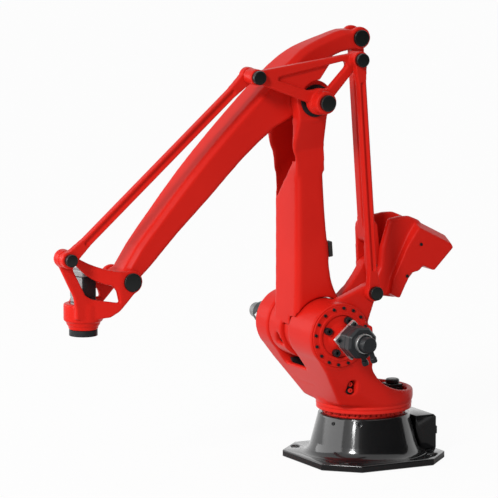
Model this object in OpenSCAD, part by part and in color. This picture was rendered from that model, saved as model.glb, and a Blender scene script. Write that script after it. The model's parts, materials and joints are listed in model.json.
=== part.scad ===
// Four-axis palletising robot with two parallel linkages.
// A crank and drive rod swing the forearm, and a chain of rod, triangle and
// rod keeps the wrist head level.
// Frame: origin on the turning axis at the underside of the base plate,
// +X forward to the tool, +Y to the robot's left, +Z up. Millimetres.

/* [Reach] */
// Height of the shoulder axis above the floor
shoulder_z = 690; // [670:5:760]
// Shoulder axis ahead of the turning axis
shoulder_x = 300; // [285:1:315]
// Shoulder axis to elbow axis
arm_len = 1170; // [1100:10:1400]
// Forward lean of the lower arm in the stored pose, degrees
arm_lean = 4.1; // [0:0.1:10]
// Elbow axis to wrist axis
fore_len = 1290; // [1200:5:1500]
// Dip of the forearm below level in the stored pose, degrees
fore_dip = 40.7; // [35:0.1:45]

/* [Linkages] */
// Crank radius, and the equal tail of the forearm behind the elbow
crank_len = 430; // [410:5:450]
// Shoulder axis to horn pin, and elbow axis to rear corner of the triangle
horn_len = 280; // [270:1:290]
// Direction of the horn pin seen from the shoulder axis, degrees
horn_ang = 134; // [131:0.1:137]
// Elbow axis to front corner of the triangle, and wrist axis to link pin
link_len = 380; // [370:1:400]
// Direction of the link pin seen from the wrist axis, degrees
link_ang = 21.6; // [20:0.1:25]
// Radius of the linkage pins
pin_r = 24; // [18:0.5:26]
// Radius of the pin caps
cap_r = 30.5; // [29:0.5:34]
// Radius of the caps on the elbow pin and the tail pin
big_cap_r = 36; // [34:0.5:40]
// Radius of the eyes at the rod ends
eye_r = 42; // [40:0.5:48]
// Side thickness of the tie rod and the wrist rod
rod_t = 40; // [30:1:44]
// Depth of the groove in each side of a rod
groove_d = 11; // [6:0.5:13]
// Side thickness of the drive rod
drive_t = 56; // [48:1:58]

/* [Base] */
// Edge of the base plate beyond the floor bolt holes
plate_edge = 100; // [90:5:125]
// Corner cut of the base plate
plate_cut = 150; // [120:5:170]
// Thickness of the base plate
plate_t = 35; // [30:1:45]
// Height of the base casting
base_h = 236; // [225:1:260]
// Radius of the base cone at the plate
cone_r1 = 281; // [270:1:290]
// Radius of the base cone at its top
cone_r2 = 231; // [225:1:240]
// Wall of the base cone
base_wall = 18; // [14:1:24]
// Distance between floor bolt holes, both ways
bolt_span = 510; // [490:5:520]
// Radius of the floor bolt holes
bolt_hole_r = 13.5; // [9:0.5:16]

/* [Turntable] */
// Radius of the slewing ring under the column
slew_r = 205; // [195:1:215]
// Radius of the turntable skirt
skirt_r = 237; // [230:1:242]
// Radius of the turntable dish
dish_r = 248; // [243:1:252]
// Height of the dish rim above the floor
dish_z = 362; // [350:1:375]
// Radius of the shoulder bosses
boss_r = 165; // [160:1:170]
// Outer face of both shoulder bosses from the middle plane
cheek_y = 297; // [285:1:305]
// Inner face of the left cheek
near_in = 50; // [46:1:60]
// Inner face of the right cheek
far_in = 165; // [155:1:175]
// Radius of the shoulder spindle
spindle_r = 60; // [50:1:70]

/* [Arms] */
// Half width of the lower arm
arm_b = 124; // [120:1:130]
// Half of the fork opening at the elbow
fork_b = 110; // [108:1:112]
// Outer face of the elbow ears
ear_y = 186; // [180:1:195]
// Radius of the elbow ears
ear_r = 102; // [98:1:106]
// Radius of the elbow shaft
elbow_r = 40; // [35:1:45]
// Half width of the forearm at the elbow
fore_b = 105; // [100:1:106]
// Half width of the forearm at the wrist
fore_tip_b = 86; // [78:1:90]
// Half width of the forearm tail
tail_b = 60; // [54:1:64]

// Wall of the hollow arm castings
wall = 14; // [10:1:16]

/* [Triangle] */
// Inner face of the triangle plate
tri_in = 206; // [203:1:210]
// Outer face of the triangle plate
tri_out = 246; // [240:1:250]
// Width of the triangle's edge ribs
tri_rib = 34; // [26:1:40]
// Thickness of the triangle's recessed web
tri_web = 14; // [8:1:20]

/* [Wrist] */
// Outer face of the wrist cheeks
head_b = 125; // [120:1:130]
// Thickness of the wrist cheeks
head_t = 32; // [26:1:34]
// Wrist axis to tool axis
tool_x = 206; // [200:1:212]
// Wrist axis down to the tool flange face
tool_drop = 262; // [256:1:280]
// Radius of the tool flange
flange_r = 70; // [65:1:74]
// Pitch circle diameter of the tool bolts
tool_pcd = 100; // [90:1:104]
// Radius of the tool bolt holes
tool_hole_r = 5.1; // [3:0.1:6.5]
// Radius of the tool pilot bore
pilot_r = 31.5; // [25:0.5:34]
// Depth of the tool pilot bore
pilot_d = 12; // [6:1:16]

/* [Fits] */
// Radial clearance of a pin in its bore
fit = 0.05; // [0.02:0.01:0.1]
// Side clearance between moving faces
side = 0.6; // [0.4:0.1:1]
// Radial clearance of the pivots that close a linkage
open_fit = 0.3; // [0.1:0.05:0.5]

/* [Hidden] */
$fn = 48;

red = "#d3221a";
iron = "#3a3a3a";
dark = "#232a2c";
alloy = "#c9cbc8";
steel = "#8b8f92";

function dir(a) = [cos(a), sin(a)];
shoulder = [shoulder_x, shoulder_z];
elbow = shoulder + arm_len * dir(90 - arm_lean);
wrist = elbow + fore_len * dir(-fore_dip);
tail = elbow + crank_len * dir(180 - fore_dip);
crank_end = shoulder + crank_len * dir(180 - fore_dip);
horn = shoulder + horn_len * dir(horn_ang);
tri_rear = elbow + horn_len * dir(horn_ang);
tri_front = elbow + link_len * dir(link_ang);
link = wrist + link_len * dir(link_ang);
tool_cx = wrist[0] + tool_x;
flange_z = wrist[1] - tool_drop;

// ---- helpers ----

// Side outline (X, Z) made solid from side plane y0 to side plane y1.
module slab(y0, y1) {
    translate([0, y1, 0]) rotate([90, 0, 0]) linear_extrude(y1 - y0) children();
}
// Round bar along Y at a side-view point.
module bar(p, r, y0, y1) {
    translate([p[0], y1, p[1]]) rotate([90, 0, 0]) cylinder(r = r, h = y1 - y0);
}
// Children drawn about a side-view point, turned by a degrees from +Z to +X.
module at(p, a = 0) {
    translate([p[0], 0, p[1]]) rotate([0, a, 0]) children();
}
// Flat link of two circles with their outer tangents.
module link2d(p, r1, q, r2) {
    d = norm(q - p);
    a = atan2(q[1] - p[1], q[0] - p[0]);
    k = acos((r1 - r2) / d);
    translate(p) circle(r1);
    translate(q) circle(r2);
    polygon([p + r1 * dir(a + k), p + r1 * dir(a - k), q + r2 * dir(a - k), q + r2 * dir(a + k)]);
}
// Copies round a circle about Y.
module ring_y(p, r, n, a0 = 0) {
    for (i = [0:n - 1]) let (a = a0 + i * 360 / n)
        translate([p[0] + r * cos(a), 0, p[1] + r * sin(a)]) children();
}
// Smooth rows through hand-set rows, k steps between each pair.
function mid(a, b, c, d, t) = 0.5 * (2 * b + (c - a) * t + (2 * a - 5 * b + 4 * c - d) * t * t
    + (3 * b - a - 3 * c + d) * t * t * t);
function smooth(r, k) = [for (i = [0:len(r) - 2]) for (j = [0:k - 1])
    mid(r[max(i - 1, 0)], r[i], r[i + 1], r[min(i + 2, len(r) - 1)], j / k), r[len(r) - 1]];
// Skin over equal rings of points, closed at both ends.
module skin(rings) {
    n = len(rings[0]);
    m = len(rings);
    pts = [for (r = rings) for (p = r) p];
    walls = [for (i = [0:m - 2]) for (j = [0:n - 1]) let (a = i * n + j, b = i * n + (j + 1) % n)
        each [[a, b, b + n], [a, b + n, a + n]]];
    ends = [[for (j = [n - 1:-1:0]) j], [for (j = [0:n - 1]) (m - 1) * n + j]];
    polyhedron(pts, concat(walls, ends));
}
// Bevelled box section: half width b, from f0 to f1, bevels c0 and c1.
function section(b, f0, f1, c0, c1) = [[b, f0 + c0], [b, f1 - c1], [b - c1, f1], [c1 - b, f1],
    [-b, f1 - c1], [-b, f0 + c0], [c0 - b, f0], [b - c0, f0]];

// ---- base ----

module plate2d() {
    h = bolt_span / 2 + plate_edge;
    c = h - plate_cut;
    polygon([[h, -c], [h, c], [c, h], [-c, h], [-h, c], [-h, -c], [-c, -h], [c, -h]]);
}
module base_casting() {
    pocket_z = base_h - 40;
    color(iron) difference() {
        union() {
            linear_extrude(plate_t) plate2d();
            rotate_extrude() polygon([[0, 0], [cone_r1 + 12, 0], [cone_r1 + 12, plate_t],
                [cone_r1 + 3, plate_t + 5], [cone_r1 - 3, plate_t + 16], [cone_r2 + 2, base_h - 12],
                [cone_r2, base_h - 3], [cone_r2 - 4, base_h], [0, base_h]]);
        }
        translate([0, 0, -1]) rotate_extrude() polygon([[0, 0], [cone_r1 - base_wall, 0],
            [cone_r1 - base_wall, plate_t], [cone_r2 - base_wall, pocket_z], [0, pocket_z]]);
        cylinder(r = case_r + fit, h = base_h + 1);
        for (x = [-1, 1]) for (y = [-1, 1]) translate([x * bolt_span / 2, y * bolt_span / 2, -1]) {
            cylinder(r = bolt_hole_r, h = plate_t + 2);
            translate([0, 0, plate_t - 3]) cylinder(r = bolt_hole_r + 9, h = 10);
        }
        rotate([0, 0, 56]) translate([0, 0, base_h - 26]) rotate([0, 90, 0])
            cylinder(r = plug_r + fit, h = cone_r1);
    }
}
case_r = 150;
plug_r = 7;
module base_plug() {
    color(dark) rotate([0, 0, 56]) translate([cone_r2 - base_wall - 4, 0, base_h - 26])
        rotate([0, 90, 0]) cylinder(r = plug_r, h = base_wall + 6);
}
module slew_reducer() {
    color(steel) difference() {
        union() {
            translate([0, 0, base_h - 140]) cylinder(r = case_r, h = 140 - side);
            translate([0, 0, base_h - 166]) cylinder(r = case_r - 45, h = 30);
        }
        translate([0, 0, base_h - 86]) cylinder(r = spigot_r + fit, h = base_h);
    }
}
spigot_r = 95;
box_x = 352;
box_w = 250;
box_z = 212;
box_front = 262;
module box2d() {
    polygon([[-box_front, plate_t], [-box_x, plate_t], [-box_x, box_z - 14], [-box_x + 14, box_z],
        [30 - box_front, box_z], [30 - box_front, 150]]);
}
module connector_box() {
    color(iron) difference() {
        slab(-box_w / 2, box_w / 2) box2d();
        cylinder(r1 = cone_r1 + 15, r2 = cone_r2 + 1, h = base_h + 2);
        cylinder(r = cone_r1 + 12 + fit, h = plate_t + 6);
        translate([-box_x - 1, -panel_w / 2 - fit, plate_t + 16 - fit])
            cube([5 + 1, panel_w + 2 * fit, panel_h + 2 * fit]);
    }
}
panel_w = 210;
panel_h = 136;
module connector_panel() {
    color(steel) difference() {
        translate([-box_x, -panel_w / 2, plate_t + 16]) cube([4, panel_w, panel_h]);
        for (y = [-1, 1]) for (z = [0, 1])
            translate([-box_x - 1, y * (panel_w / 2 - 12), plate_t + 28 + z * (panel_h - 24)])
                rotate([0, 90, 0]) cylinder(r = 3.2, h = 6);
    }
}
module panel_connectors() {
    color(dark) for (y = [-50, 50]) translate([-box_x - side, y, plate_t + 16 + panel_h / 2]) {
        translate([-26, -32, -24]) difference() {
            cube([26, 64, 48]);
            translate([-1, 6, 6]) cube([18, 52, 36]);
        }
        translate([-32, -22, -14]) cube([32, 44, 28]);
    }
}

// ---- column ----

module dish_profile() {
    polygon([[0, base_h + 26], [skirt_r, base_h + 26], [skirt_r + 2, base_h + 30],
        [skirt_r + 2, base_h + 58], [skirt_r - 4, base_h + 64], [dish_r - 4, base_h + 68],
        [dish_r, base_h + 74], [dish_r, dish_z - 6], [dish_r - 6, dish_z],
        [dish_r - 24, dish_z], [dish_r - 34, dish_z - 22], [dish_r - 40, dish_z - 44], [0, dish_z - 44]]);
}
// Side view of the column between the dish and the shoulder.
module column_side() {
    polygon(concat([[shoulder_x + boss_r, shoulder_z], shoulder + boss_r * dir(-32)],
        curve(shoulder + (boss_r - 2) * dir(-36), [372, 512], [dish_r - 12, base_h + 72], 6),
        [[dish_r - 60, base_h + 66], [-dish_r, base_h + 66], [-dish_r, dish_z - 2]],
        curve([-dish_r + 60, dish_z], [40, dish_z + 8], [horn[0] + 2, shoulder_z - 180], 10),
        [[horn[0] + 4, shoulder_z], [horn[0] + 10, shoulder_z + 40], [shoulder_x, shoulder_z + 40]]));
}
function curve(a, b, c, n) = [for (i = [0:n]) let (t = i / n)
    (1 - t) * (1 - t) * a + 2 * t * (1 - t) * b + t * t * c];
foot_b = 188;
// Flared body: round at the dish, wide and square at the shoulder.
module column_flare() {
    hull() {
        translate([0, 0, base_h + 68]) cylinder(r = dish_r - 2, h = dish_z - base_h - 72);
        translate([60, -foot_b, base_h + 82]) cube([dish_r - 62, 2 * foot_b, 30]);
        translate([horn[0] - 10, -cheek_y, shoulder_z - 120])
            cube([shoulder_x + boss_r - horn[0] + 10, 2 * cheek_y, 30]);
    }
}
module cheek2d() {
    translate(shoulder) circle(boss_r);
    intersection() {
        column_side();
        translate([-400, shoulder_z - 121]) square([1000, 161]);
    }
}
module horn2d() {
    difference() {
        link2d(shoulder, boss_r - 8, horn, 40);
        translate(shoulder) circle(boss_r - 30);
    }
}
horn_in = 196;
horn_out = 256;
module column() {
    color(red) difference() {
        union() {
            rotate_extrude($fn = 96) dish_profile();
            intersection() {
                column_flare();
                slab(-cheek_y - 1, cheek_y + 1) column_side();
            }
            slab(near_in, cheek_y) cheek2d();
            slab(-cheek_y, -far_in) cheek2d();
            slab(horn_in, horn_out) horn2d();
            bar(horn, 40, horn_in - 8, horn_out + 2);
        }
        // room for the arm hub and the crank
        slab(-far_in, near_in) polygon([shoulder + [-420, 300], shoulder + [-420, -130],
            shoulder + [-130, -184], shoulder + [0, -hub_r - 26], shoulder + [80, -205],
            shoulder + [260, -205], shoulder + [260, 300]]);
        // open bucket behind the column foot
        translate([0, 0, dish_z - 44]) intersection() {
            union() {
                cylinder(r1 = dish_r - 40, r2 = dish_r - 28, h = 46);
                translate([0, 0, 44]) cylinder(r = dish_r - 28, h = 160);
            }
            translate([-dish_r, -dish_r, 0]) cube([dish_r + 20, 2 * dish_r, 200]);
        }
        // reducer seats
        bar(shoulder, case_y_r + fit, near_in - 1, cheek_y + 1);
        bar(shoulder, case_y_r + fit, -cheek_y - 1, -far_in + 1);
        bar(shoulder, seat_r + fit, cheek_y - 12, cheek_y + 1);
        bar(shoulder, seat_r + fit, -cheek_y - 1, 12 - cheek_y);
        bar(horn, pin_r + fit, horn_in - 20, horn_out + 20);
        // slot for the lifting fork in the left side
        translate([slot_x, slot_floor, slot_z]) rotate([90, 0, 0]) mirror([0, 0, 1]) linear_extrude(100)
            slot2d(14, 74);
        // turning motor well
        translate([motor1_x, 0, base_h + 50]) cylinder(r = 50 + fit, h = 200);
        translate([0, 0, base_h + 20]) cylinder(r = spigot_r + 0.5, h = 20);
    }
}
hub_r = 160;
case_y_r = 128;
seat_r = 154;
motor1_x = -166;
slot_x = 205;
slot_z = 418;
slot_floor = 226;
module slot2d(r, l) {
    for (z = [-1, 1]) translate([0, z * (l / 2 - r)]) circle(r);
    translate([-r, r - l / 2]) square([2 * r, l - 2 * r]);
}
module slew_ring() {
    color(red) difference() {
        union() {
            translate([0, 0, base_h + side]) cylinder(r = slew_r, h = 26 - side);
            translate([0, 0, base_h - 66]) cylinder(r = spigot_r, h = 92);
        }
        translate([0, 0, base_h - 76]) cylinder(r = spigot_r - 20, h = 200);
        for (i = [0:23]) rotate([0, 0, i * 15 + 7.5]) translate([slew_r, 0, base_h + 7])
            cylinder(r = 15, h = 30);
    }
}
module slew_bolts() {
    color(dark) for (i = [0:23]) rotate([0, 0, i * 15 + 7.5]) translate([slew_r - 3, 0, base_h + 7])
        cylinder(r = 8, h = 12);
}
module slew_motor() {
    color(dark) translate([motor1_x, 0, 0]) {
        translate([0, 0, base_h + 50]) cylinder(r = 50, h = dish_z - base_h - 62);
        translate([-36, -44, dish_z - 12]) cube([72, 88, 16]);
    }
}
module slew_motor_cap() {
    color(dark) translate([motor1_x, 0, dish_z + 4]) cylinder(r = 35, h = 24);
}
module slot_screws() {
    color(steel) for (z = [-22, 22]) translate([slot_x, slot_floor + 10, slot_z + z]) rotate([90, 0, 0])
        cylinder(r = 7, h = 10);
}
module main_spindle() {
    color(steel) bar(shoulder, spindle_r, -far_in - side, near_in + side);
}
// Reducer let into the outer face of a cheek; s is +1 left, -1 right.
module reducer(s, inner) {
    color(red) mirror([0, s < 0 ? 1 : 0, 0]) difference() {
        union() {
            bar(shoulder, case_y_r, inner + side, cheek_y);
            bar(shoulder, seat_r, cheek_y - 12 + fit, cheek_y + 5);
            bar(shoulder, case_y_r - 6, cheek_y, cheek_y + 11);
        }
        bar(shoulder, 106, cheek_y - 8, cheek_y + 20);
        bar(shoulder, spindle_r + fit, inner, inner + 40);
        ring_y(shoulder, bolt_ring_r, 16, 6) bar([0, 0], 5, cheek_y - 10, cheek_y + 6);
    }
}
bolt_ring_r = 142;
module reducer_bolts(s) {
    color(dark) mirror([0, s < 0 ? 1 : 0, 0]) ring_y(shoulder, bolt_ring_r, 16, 6) {
        bar([0, 0], 8, cheek_y + 5, cheek_y + 13);
        bar([0, 0], 4.9, cheek_y - 8, cheek_y + 5);
    }
}
adapter_y = cheek_y + 110;
// Square flange on a round neck, standing in the reducer's recess.
module motor_adapter(s) {
    color(alloy) mirror([0, s < 0 ? 1 : 0, 0]) difference() {
        union() {
            bar(shoulder, 104, cheek_y - 8 + fit, cheek_y + 8);
            bar(shoulder, 58, cheek_y + 8, adapter_y - 22);
            at(shoulder, 22) translate([-84, adapter_y - 22, -84]) cube([168, 22, 168]);
        }
        at(shoulder, 22) for (x = [-1, 1]) for (z = [-1, 1])
            bar([x * 60, z * 60], 8 + fit, cheek_y - 20, adapter_y + 1);
    }
}
module motor_studs(s) {
    color(dark) mirror([0, s < 0 ? 1 : 0, 0]) at(shoulder, 22)
        for (x = [-1, 1]) for (z = [-1, 1]) {
            bar([x * 60, z * 60], 8, cheek_y - 4, adapter_y + 3);
            bar([x * 60, z * 60], 14, cheek_y + 8 + fit, cheek_y + 34);
        }
}
// Servo motor: square flange, eight-sided body, brake drum and encoder cap.
module servo(s) {
    mirror([0, s < 0 ? 1 : 0, 0]) {
        color(alloy) difference() {
            at(shoulder, 22) translate([-78, adapter_y, -78]) cube([156, 22, 156]);
            at(shoulder, 22) for (x = [-1, 1]) for (z = [-1, 1])
                bar([x * 60, z * 60], 8 + fit, adapter_y - 1, adapter_y + 23);
        }
        color(dark) at(shoulder, 22) translate([0, adapter_y + 152, 0]) rotate([90, 0, 0])
            rotate([0, 0, 22.5]) cylinder(r = 74, h = 130, $fn = 8);
        color(alloy) bar(shoulder, 46, adapter_y + 152, adapter_y + 168);
        color(dark) bar(shoulder, 39, adapter_y + 168, adapter_y + 198);
    }
}
module servo_plugs(s) {
    color(dark) mirror([0, s < 0 ? 1 : 0, 0]) at(shoulder, 22) for (y = [50, 104])
        translate([0, adapter_y + y, -69 - fit]) rotate([180, 0, 0]) {
            cylinder(r = 15, h = 26);
            translate([0, 0, 26]) cylinder(r = 18, h = 12);
        }
}
module horn_pin() {
    color(steel) bar(horn, pin_r, horn_in - 6, rod_y + rod_t / 2 + 16);
}
rod_y = 280;
module horn_cap() {
    color(dark) difference() {
        bar(horn, cap_r, rod_y + rod_t / 2 + side, rod_y + rod_t / 2 + 26);
        bar(horn, pin_r + fit, rod_y, rod_y + rod_t / 2 + 16 + fit);
    }
}

// ---- lower arm ----

// Rows: height above the shoulder, half width, rear face, front face.
arm_rows = [[40, arm_b, -140, 150], [120, arm_b, -118, 146], [190, arm_b, -86, 138],
    [270, arm_b, -66, 132], [420, arm_b, -60, 121], [620, arm_b, -56, 107],
    [820, arm_b, -58, 96], [980, arm_b, -56, 100], [arm_len - 90, arm_b + 4, -60, 106]];
module lower_arm() {
    color(red) at(shoulder, arm_lean) difference() {
        union() {
            difference() {
                skin([for (r = smooth(arm_rows, 3)) [for (p = section(r[1], r[2], r[3], 14, 20))
                    [p[1], p[0], r[0]]]]);
                // core space, open into the fork
                skin([for (r = smooth(arm_rows, 3)) if (r[0] > 360)
                    [for (p = section(r[1] - wall, r[2] + wall, r[3] - wall, 8, 12)) [p[1], p[0], r[0]]]]);
            }
            bar([0, 0], hub_r, -far_in + side, -hub_in);
            translate([-buffer_x, 54, 354]) cube([30, 56, 94]);
            for (s = [-1, 1]) mirror([0, s < 0 ? 1 : 0, 0]) {
                bar([0, arm_len], ear_r, fork_b, ear_y);
                intersection() {
                    slab(fork_b, ear_y) link2d([36, arm_len - 230], 74, [10, arm_len - 16], 74);
                    rotate([90, 0, 90]) translate([0, 0, -200]) linear_extrude(400)
                        polygon([[0, 0], [arm_b, arm_len - 250], [ear_y, arm_len - 90],
                            [ear_y, arm_len + 200], [0, arm_len + 200]]);
                }
            }
        }
        // room for the left cheek and for the crank hub
        bar([0, 0], boss_r + 3, near_in - 4, arm_b + 20);
        bar([0, 0], boss_r - 14, -hub_in, near_in + 1);
        translate([-200, -hub_in, -200]) cube([400, near_in + hub_in + 60, 200]);
        translate([-200, -hub_in, -10]) cube([196, near_in + hub_in + 3, 330]);
        // fork for the forearm
        slab(-fork_b, fork_b) polygon([[-200, arm_len - 122], [10, arm_len - 122], [56, arm_len - 190],
            [110, arm_len - 390], [200, arm_len - 390], [200, arm_len + 200], [-200, arm_len + 200]]);
        bar([0, 0], spindle_r + fit, -far_in - 1, 0);
        bar([0, arm_len], elbow_r + fit, -ear_y - 1, ear_y + 1);
    }
}
hub_in = 34;
buffer_x = 66;
module arm_buffer() {
    color(dark) at(shoulder, arm_lean) translate([-buffer_x - 26, 60, 362]) cube([26, 44, 78]);
}
module elbow_shaft() {
    color(steel) bar(elbow, elbow_r, -ear_y - 6, tri_out + 40);
}
module elbow_ring(s) {
    color(dark) difference() {
        mirror([0, s < 0 ? 1 : 0, 0]) bar(elbow, 80, ear_y + fit, ear_y + 8);
        bar(elbow, elbow_r + fit, -ear_y - 20, ear_y + 20);
    }
}

// ---- crank ----

crank_b = 30;
// Centre line of the curved lever, from the spindle to the crank pin.
function lever(t) = shoulder + t * crank_len * dir(180 - fore_dip)
    - lever_sag * sin(180 * t) * dir(90 - fore_dip);
lever_sag = 53;
module crank() {
    n = 6;
    color(red) difference() {
        union() {
            bar(shoulder, 142, -hub_in + side * 3, near_in - side * 2);
            slab(-crank_b, crank_b) {
                for (i = [0:n - 1])
                    link2d(lever(i / n), 90 - 36 * i / n, lever((i + 1) / n), 84 - 36 * i / n);
                translate(crank_end) circle(58);
                // plate that carries the counterweight
                polygon([for (p = [[29, 50], [-196, 180], [-236, 186], [-262, 112], [-196, -34],
                    [-150, -84], [-60, -70], [0, -58]]) crank_end + p]);
            }
        }
        bar(shoulder, spindle_r + fit, -100, 100);
        bar(crank_end, pin_r + fit, -100, 100);
        weight_bolt_spots(8 + fit);
    }
}
weight_at = crank_end + [326, -280.4];
// Side outline of the counterweight, placed from the crank end.
function weight2d(up) = [for (p = [[-532, 487 + up], [-726, 386 + up], [-735 + up / 3, 372],
    [-622, 261], [-560, 291], [-537, 267], [-487, 257], [-423, 134], [-374, 160], [-385, 230],
    [-458, 382]]) weight_at + p];
weight_b = 150;
module counterweight() {
    color(red) difference() {
        union() {
            // side faces with a bevel up to the top
            mirror([0, 1, 0]) skin([for (r = [[-weight_b, 0], [-weight_b + 70, 38],
                [weight_b - 70, 38], [weight_b, 0]]) [for (p = weight2d(r[1])) [p[0], r[0], p[1]]]]);
            // front lobes on both sides of the drive rod
            for (s = [-1, 1]) mirror([0, s < 0 ? 1 : 0, 0]) {
                slab(drive_fork + 5, lobe_y) lobe2d(0);
                slab(drive_fork + 5, lobe_y - 12) lobe2d(9);
            }
        }
        // the crank plate stands in this slot, the drive rod in front of it
        slab(-crank_b - side, crank_b + side) polygon([for (p = [[-200, 100], [-200, 700], [-520, 700],
            [-640, 470], [-580, 280], [-440, 150]]) weight_at + p]);
        slab(-drive_fork - 4, drive_fork + 4) {
            link2d(crank_end, 96, crank_end + 420 * dir(112), 60);
            link2d(crank_end, 96, crank_end + [60, 400], 96);
        }
        weight_bolt_spots(8 + fit);
    }
}
lobe_y = 108;
// Side outline of a front lobe, grown by g.
module lobe2d(g) {
    spots = [[-309, 225], [-344, 293], [-354, 390], [-397, 524], [-455, 532], [-505, 530], [-556, 508],
        [-590, 465], [-560, 300], [-423, 143], [-338, 158]];
    n = len(spots);
    for (i = [0:n - 1]) link2d(weight_at + spots[i], 1 + g, weight_at + spots[(i + 1) % n], 1 + g);
    polygon([for (p = spots) weight_at + p]);
}
module weight_bolt_spots(r) {
    for (p = [[-465, 245], [-545, 400]]) let (q = weight_at + p)
        bar(q, r, -weight_b - 1, weight_b + 1);
}
module counterweight_bolts() {
    color(dark) weight_bolt_spots(8);
}
module crank_pin() {
    color(steel) bar(crank_end, pin_r, -drive_fork, drive_fork);
}
drive_fork = 62;
module drive_rod() {
    lo = crank_end;
    hi = tail;
    color(red) difference() {
        union() {
            bar(hi, eye_r, -drive_t / 2, drive_t / 2);
            slab(-drive_t / 2, drive_t / 2) link2d(lo + 165 * dir(90 - arm_lean), 36, hi, 34);
            for (s = [-1, 1]) mirror([0, s < 0 ? 1 : 0, 0]) {
                slab(crank_b + side * 2, drive_fork - 6) link2d(lo, 44, lo + 200 * dir(90 - arm_lean), 36);
            }
            slab(-drive_fork + 6, drive_fork - 6) link2d(lo + 165 * dir(90 - arm_lean), 37,
                lo + 210 * dir(90 - arm_lean), 35);
        }
        bar(lo, pin_r + fit, -100, 100);
        bar(hi, pin_r + open_fit, -100, 100);
        for (s = [-1, 1]) mirror([0, s < 0 ? 1 : 0, 0])
            slab(drive_t / 2 - groove_d, 100) link2d(lo + 270 * dir(90 - arm_lean), 20,
                hi + 90 * dir(-90 - arm_lean), 19);
    }
}

// ---- rods ----

// Grooved rod between two eyes, in the side plane y.
module rod(lo, hi, y, w, fit_lo, fit_hi) {
    u = (hi - lo) / norm(hi - lo);
    difference() {
        union() {
            bar(lo, eye_r, y - rod_t / 2, y + rod_t / 2);
            bar(hi, eye_r, y - rod_t / 2, y + rod_t / 2);
            slab(y - rod_t / 2, y + rod_t / 2) link2d(lo + 110 * u, w, hi - 110 * u, w);
            slab(y - rod_t / 2, y + rod_t / 2) link2d(lo, eye_r - 8, lo + 150 * u, w - 2);
            slab(y - rod_t / 2, y + rod_t / 2) link2d(hi, eye_r - 8, hi - 150 * u, w - 2);
        }
        bar(lo, pin_r + fit_lo, y - rod_t, y + rod_t);
        bar(hi, pin_r + fit_hi, y - rod_t, y + rod_t);
        for (s = [0, 1])
            slab(y + (s ? rod_t / 2 - groove_d : -rod_t), y + (s ? rod_t : groove_d - rod_t / 2))
                link2d(lo + 120 * u, w - 11, hi - 120 * u, w - 11);
    }
}
module tie_rod() {
    color(red) rod(horn, tri_rear, rod_y, 20, fit, open_fit);
}
wrod_y = 146;
module wrist_rod() {
    color(red) rod(link, tri_front, wrod_y, 23, open_fit, fit);
}

// ---- triangle ----

module tri_frame2d() {
    rear = 14 * dir(horn_ang + 90);
    link2d(elbow, 26, tri_front, 26);
    link2d(elbow + rear, 26, tri_rear + rear / 2, 28);
    link2d(tri_front, 28, tri_rear, 30);
    for (p = [tri_front, tri_rear]) translate(p) circle(38);
    polygon([elbow, tri_front, tri_rear]);
}
// Point in the triangle: a along the rear side, b along the front side.
function tri_at(a, b) = elbow + a * (tri_rear - elbow) + b * (tri_front - elbow);
// Inside of the edge ribs.
module tri_hole2d() {
    k = [tri_at(0.34, 0.085), tri_at(0.80, 0.085), tri_at(0.13, 0.71), tri_at(0.17, 0.28)];
    link2d(k[0], 18, k[1], 20);
    link2d(k[1], 20, k[2], 10);
    link2d(k[2], 10, k[3], 14);
    link2d(k[3], 14, k[0], 18);
    polygon(k);
}
// Part of it that stays open, behind the recessed web.
module tri_window2d() {
    polygon([for (p = [[0, 100], [-67, 191], [-80, 240], [-300, 300], [-300, 0], [0, 0]]) elbow + p]);
    translate(elbow) circle(106);
}
module triangle() {
    color(red) difference() {
        union() {
            slab(tri_in, tri_out) difference() {
                tri_frame2d();
                tri_hole2d();
            }
            // recessed web in the front part
            slab(tri_in + 8, tri_in + 8 + tri_web) difference() {
                tri_hole2d();
                tri_window2d();
            }
            bar(elbow, 56, ear_y + 8 + side, tri_out + 60);
            bar(elbow, 66, tri_in, tri_out);
            bar(tri_front, 40, wrod_y + rod_t / 2 + side, tri_out + 6);
            bar(tri_rear, 38, tri_in, rod_y - rod_t / 2 - side);
        }
        bar(elbow, elbow_r + fit, 0, tri_out + 40 + fit);
        bar(tri_front, pin_r + fit, 0, tri_out + 26);
        bar(tri_rear, pin_r + fit, 0, tri_out + 60);
    }
}
module triangle_pins() {
    color(steel) {
        bar(tri_rear, pin_r, tri_in + 4, rod_y + rod_t / 2 + 16);
        bar(tri_front, pin_r, wrod_y - rod_t / 2 - 10, tri_out + 20);
    }
}
module triangle_caps() {
    color(dark) {
        difference() {
            bar(tri_rear, cap_r, rod_y + rod_t / 2 + side, rod_y + rod_t / 2 + 26);
            bar(tri_rear, pin_r + fit, rod_y, rod_y + rod_t / 2 + 16 + fit);
        }
        difference() {
            bar(tri_front, cap_r, tri_out + 6 + fit, tri_out + 32);
            bar(tri_front, pin_r + fit, tri_in, tri_out + 20 + fit);
        }
        bar(elbow, big_cap_r, tri_out + 60 + fit, tri_out + 84);
    }
}

// ---- forearm ----

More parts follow.
